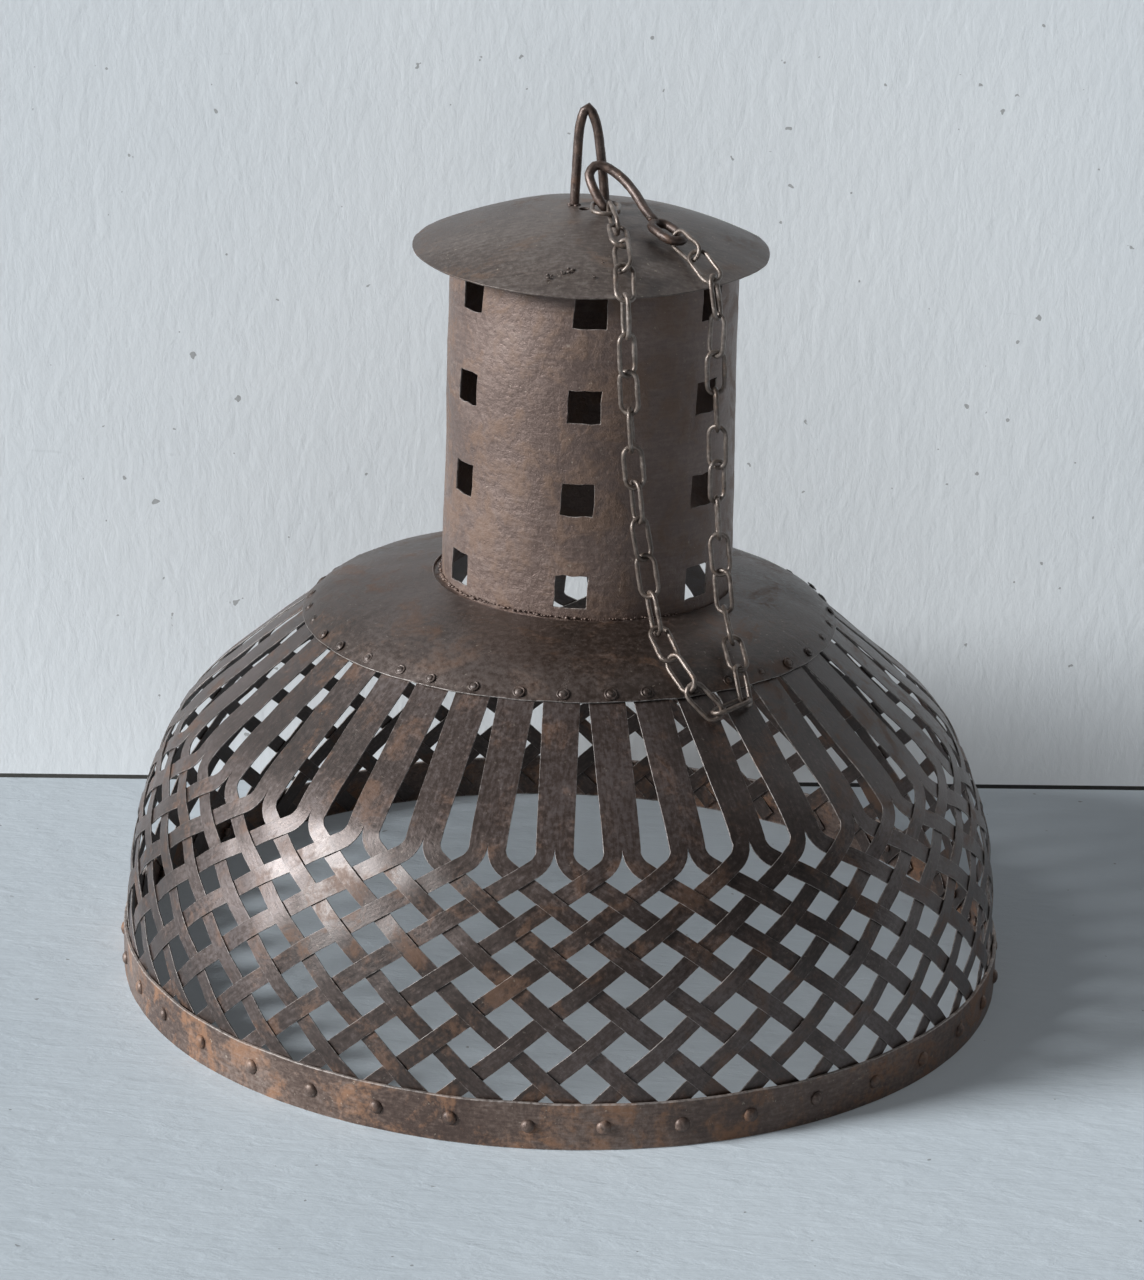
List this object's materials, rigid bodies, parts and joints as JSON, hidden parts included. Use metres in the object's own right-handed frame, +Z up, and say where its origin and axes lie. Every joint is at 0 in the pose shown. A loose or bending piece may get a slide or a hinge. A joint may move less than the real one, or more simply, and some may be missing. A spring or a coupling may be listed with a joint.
{
  "type": "hanging lampshade",
  "caption": "Hanging lampshade of woven iron strip with a rim band, sheet crown, vented chimney, dished cap, staple, and a chain with a hook.",
  "frame": {"origin": "Middle of the rim, on the plane that the rim stands on.", "axes": "+Z up along the basket's axis, -Y towards the side where the chain hangs, +X to the right of it."},
  "size_m": [0.625, 0.6251, 0.6118],
  "materials": {
    "strip_iron": "rusted, brushed",
    "band_iron": "rusted, mottled",
    "crown_iron": "rusted",
    "chimney_iron": "rusted, dented",
    "cap_iron": "worn grey, speckled",
    "rod_iron": "forged, rusted",
    "chain_steel": "worn, tarnished"
  },
  "bodies": {
    "shade": {"strip_01": "strip_iron", "strip_02": "strip_iron", "strip_03": "strip_iron", "strip_04": "strip_iron", "strip_05": "strip_iron", "strip_06": "strip_iron", "strip_07": "strip_iron", "strip_08": "strip_iron", "strip_09": "strip_iron", "strip_10": "strip_iron", "strip_11": "strip_iron", "strip_12": "strip_iron", "strip_13": "strip_iron", "strip_14": "strip_iron", "strip_15": "strip_iron", "strip_16": "strip_iron", "strip_17": "strip_iron", "strip_18": "strip_iron", "strip_19": "strip_iron", "strip_20": "strip_iron", "strip_21": "strip_iron", "strip_22": "strip_iron", "strip_23": "strip_iron", "strip_24": "strip_iron", "strip_25": "strip_iron", "strip_26": "strip_iron", "strip_27": "strip_iron", "strip_28": "strip_iron", "strip_29": "strip_iron", "strip_30": "strip_iron", "strip_31": "strip_iron", "strip_32": "strip_iron", "strip_33": "strip_iron", "strip_34": "strip_iron", "strip_35": "strip_iron", "strip_36": "strip_iron", "strip_37": "strip_iron", "strip_38": "strip_iron", "strip_39": "strip_iron", "rim_band": "band_iron", "crown": "crown_iron", "chimney": "chimney_iron", "cap": "cap_iron", "staple": "rod_iron", "chain_left_link_1": "chain_steel", "chain_left_link_2": "chain_steel", "chain_left_link_3": "chain_steel", "chain_left_link_4": "chain_steel"},
    "end_ring": {"chain_end_ring": "chain_steel"},
    "hanging_upper": {"chain_left_upper_run": "chain_steel", "chain_right_upper_run": "chain_steel"},
    "hanging_lower": {"chain_left_lower_run": "chain_steel", "chain_right_lower_run": "chain_steel"},
    "hanging_tail": {"chain_left_tail": "chain_steel", "chain_right_tail": "chain_steel", "chain_bottom_link": "chain_steel"},
    "right_link_2": {"chain_right_link_2": "chain_steel"},
    "right_link_1": {"chain_right_link_1": "chain_steel"},
    "hook": {"hook": "rod_iron"}
  },
  "joints": [
    {"name": "end_ring_turn", "type": "hinge", "parent": "shade", "child": "end_ring", "pos_m": [0.0182, -0.043, 0.5476], "axis": [0, 0, 1], "range_deg": [0, 8]},
    {"name": "chain_swing", "type": "hinge", "parent": "shade", "child": "hanging_upper", "pos_m": [0.0298, -0.1238, 0.5102], "axis": [-0.8835, -0.4542, -0.1147], "range_deg": [0, 25]},
    {"name": "lower_chain_swing", "type": "hinge", "parent": "hanging_upper", "child": "hanging_lower", "pos_m": [0.0403, -0.1255, 0.3868], "axis": [-0.8838, -0.4509, -0.1246], "range_deg": [0, 25]},
    {"name": "tail_lift", "type": "hinge", "parent": "hanging_lower", "child": "hanging_tail", "pos_m": [0.0579, -0.1378, 0.2915], "axis": [-0.9472, -0.2641, 0.1818], "range_deg": [0, 30]},
    {"name": "right_link_2_lift", "type": "hinge", "parent": "shade", "child": "right_link_2", "pos_m": [0.0868, -0.0945, 0.5176], "axis": [0.8, 0.6, 0], "range_deg": [0, 10]},
    {"name": "right_link_1_lift", "type": "hinge", "parent": "right_link_2", "child": "right_link_1", "pos_m": [0.075, -0.0787, 0.5297], "axis": [0.8, 0.6, 0], "range_deg": [0, 15]},
    {"name": "hook_lift", "type": "hinge", "parent": "right_link_1", "child": "hook", "pos_m": [0.0647, -0.0629, 0.5348], "axis": [0.7623, 0.6472, 0], "range_deg": [0, 75]}
  ]
}
